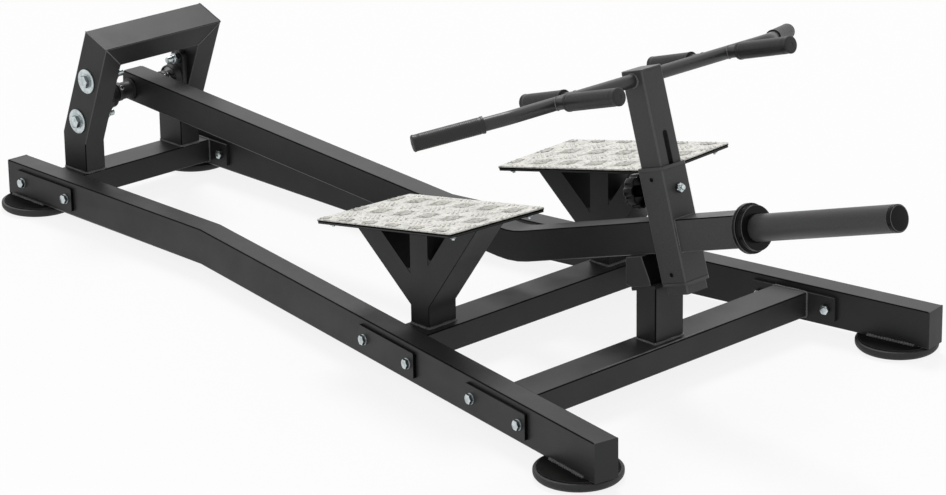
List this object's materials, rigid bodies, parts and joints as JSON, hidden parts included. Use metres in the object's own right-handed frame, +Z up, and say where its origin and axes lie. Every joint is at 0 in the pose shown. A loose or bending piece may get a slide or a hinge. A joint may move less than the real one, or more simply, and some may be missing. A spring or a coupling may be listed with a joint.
{
  "type": "t-bar row machine",
  "caption": "Floor-standing T-bar row machine: a hinged lever with a plate sleeve, a sliding handle mast and two angled footplates on a splayed frame.",
  "frame": {"origin": "on the floor, at the middle of the machine's length and width with the lever down", "axes": "+X from the pivot arch towards the plate sleeve, +Y to the machine's left side, +Z up"},
  "size_m": [2.2803, 1.023, 0.6381],
  "materials": {
    "powder_coated_steel": "satin black powder coat",
    "painted_cast_iron": "painted black",
    "zinc_plated_steel": "zinc plated",
    "tread_plate": "raised five-bar style tread, satin",
    "black_plastic": "moulded, matt",
    "black_rubber": "matt"
  },
  "bodies": {
    "frame": {"rail_left": "powder_coated_steel", "rail_right": "powder_coated_steel", "rear_crossbar": "powder_coated_steel", "middle_crossbar": "powder_coated_steel", "front_crossbar": "powder_coated_steel", "clamp_plate_rear_left": "powder_coated_steel", "clamp_plate_rear_right": "powder_coated_steel", "clamp_plate_middle_left": "powder_coated_steel", "clamp_plate_middle_right": "powder_coated_steel", "clamp_plate_front_left": "powder_coated_steel", "clamp_plate_front_right": "powder_coated_steel", "foot_pad_rear_left": "black_rubber", "foot_pad_rear_right": "black_rubber", "foot_pad_front_left": "black_rubber", "foot_pad_front_right": "black_rubber", "arch_upright_left": "powder_coated_steel", "arch_upright_right": "powder_coated_steel", "arch_top_bar": "powder_coated_steel", "bearing_housing_left": "painted_cast_iron", "bearing_housing_right": "painted_cast_iron", "bearing_outer_ring_left": "zinc_plated_steel", "bearing_outer_ring_right": "zinc_plated_steel", "bearing_bolt_lower_left": "zinc_plated_steel", "bearing_bolt_lower_right": "zinc_plated_steel", "bearing_bolt_upper_left": "zinc_plated_steel", "bearing_bolt_upper_right": "zinc_plated_steel", "front_post": "powder_coated_steel", "stop_bumper": "black_rubber", "footplate_support_left": "powder_coated_steel", "footplate_support_right": "powder_coated_steel", "footplate_tread_left": "tread_plate", "footplate_tread_right": "tread_plate"},
    "lever": {"lever_arm": "powder_coated_steel", "lever_front_stub": "powder_coated_steel", "lever_rear_cap": "black_plastic", "pivot_shaft": "zinc_plated_steel", "bearing_inner_ring_left": "zinc_plated_steel", "bearing_inner_ring_right": "zinc_plated_steel", "receiver": "powder_coated_steel", "receiver_bushing_top": "black_plastic", "receiver_bushing_bottom": "black_plastic", "clamp_nut": "zinc_plated_steel", "weight_sleeve": "powder_coated_steel", "sleeve_collar": "powder_coated_steel", "sleeve_end_cap": "black_plastic"},
    "mast": {"mast": "powder_coated_steel", "mast_cap": "black_plastic", "handlebar": "powder_coated_steel", "bar_grip_left": "black_rubber", "bar_grip_right": "black_rubber", "neutral_grip_front_left": "black_rubber", "neutral_grip_front_right": "black_rubber", "neutral_grip_rear_left": "black_rubber", "neutral_grip_rear_right": "black_rubber"},
    "clamp": {"clamp_knob": "black_plastic", "clamp_bolt": "zinc_plated_steel", "split_pin": "zinc_plated_steel"}
  },
  "joints": [
    {"name": "lever_pivot", "type": "hinge", "parent": "frame", "child": "lever", "pos_m": [-0.96782, 0, 0.24215], "axis": [0, -1, 0], "range_deg": [0, 32]},
    {"name": "mast_slide", "type": "slide", "parent": "lever", "child": "mast", "axis": [-0.2859, 0, 0.9583], "range_m": [-0.103, 0.085]},
    {"name": "clamp_turn", "type": "hinge", "parent": "lever", "child": "clamp", "pos_m": [0.58449, 0, 0.37468], "axis": [-0.9583, 0, -0.2859], "range_deg": [0, 360]}
  ]
}
